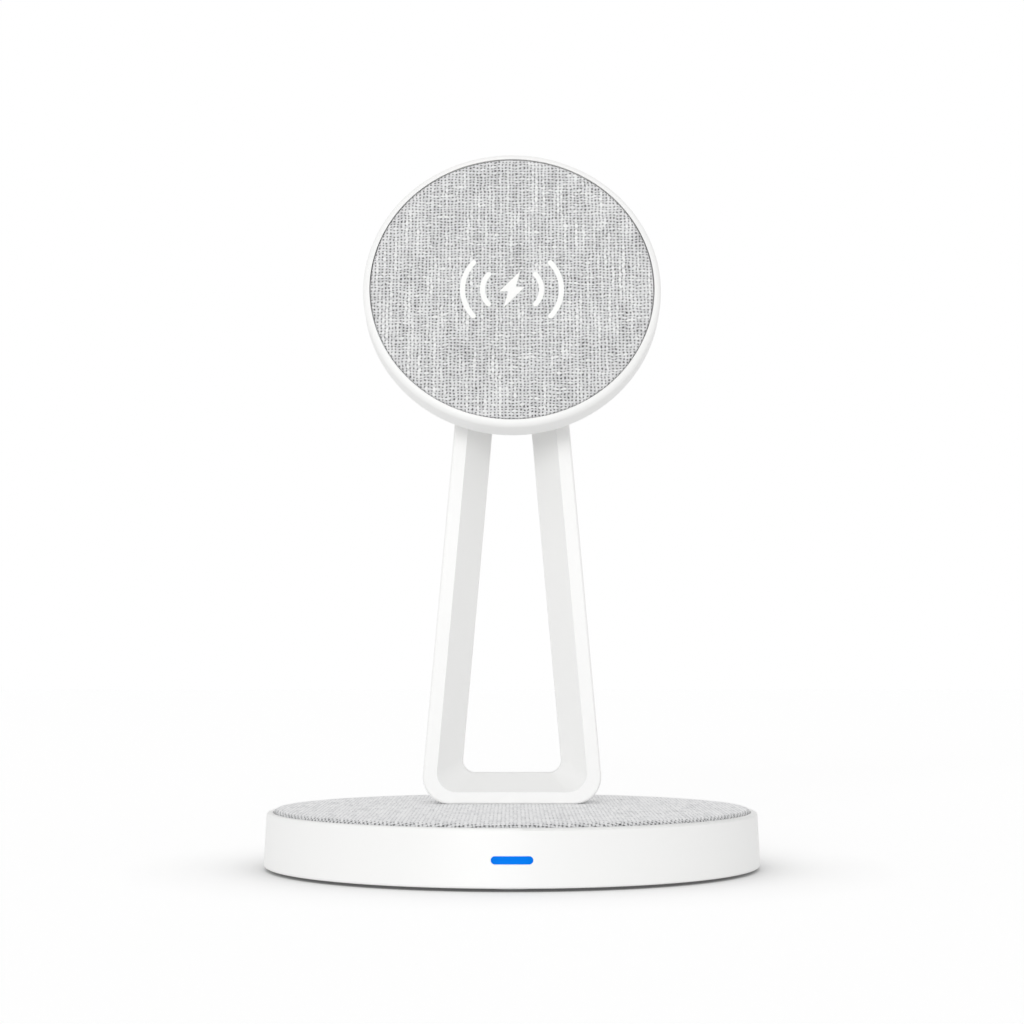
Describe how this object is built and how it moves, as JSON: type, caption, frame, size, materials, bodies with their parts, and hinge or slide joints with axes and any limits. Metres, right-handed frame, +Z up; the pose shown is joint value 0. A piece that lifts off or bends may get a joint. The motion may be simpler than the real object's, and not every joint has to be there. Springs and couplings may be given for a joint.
{
  "type": "two in one wireless charging stand",
  "caption": "Wireless charging stand: round fabric-topped base for an earbud case, tapered open loop upright, and a round tilting magnetic head with a fabric face for a phone.",
  "frame": {"origin": "middle of the base's footprint on the table plane, under the feet", "axes": "+Z up, -Y is the front that faces the user, +X to the user's right"},
  "size_m": [0.1, 0.1, 0.1483],
  "materials": {
    "white_plastic": "satin moulded",
    "grey_fabric": "woven, heathered",
    "silicone": "matt",
    "copper": "enamelled winding",
    "ferrite": "matt sintered",
    "steel": "bright",
    "nickel": "nickel plated",
    "circuit_board": "solder mask",
    "black_plastic": "moulded",
    "blue_light": "lit diffuser"
  },
  "bodies": {
    "base": {"base_housing": "white_plastic", "base_bottom_cover": "white_plastic", "foot_pads": "silicone", "base_pad_board": "white_plastic", "base_fabric": "grey_fabric", "base_coil": "copper", "base_ferrite": "ferrite", "counterweight": "steel", "main_board": "circuit_board", "board_components": "black_plastic", "usb_socket": "steel", "usb_tongue": "black_plastic", "light_bar": "blue_light", "light_chip": "white_plastic", "light_board": "circuit_board", "cover_screws": "steel", "board_screws": "steel", "stand_screws": "steel", "lead_plug": "white_plastic", "stand_lead": "white_plastic", "stand_front_shell": "white_plastic", "stand_rear_cover": "white_plastic", "hinge_pin": "steel", "hinge_washers": "black_plastic", "hinge_cap": "white_plastic"},
    "head": {"hinge_arm": "white_plastic", "arm_screws": "steel", "head_housing": "white_plastic", "head_face_plate": "white_plastic", "head_fabric": "grey_fabric", "head_coil": "copper", "head_ferrite": "ferrite", "head_magnets": "nickel", "head_yoke": "steel", "head_board": "circuit_board", "head_lead": "white_plastic"}
  },
  "joints": [
    {"name": "head_tilt", "type": "hinge", "parent": "base", "child": "head", "pos_m": [0, 0.015, 0.1143], "axis": [-1, 0, 0], "range_deg": [-14, 31]}
  ]
}
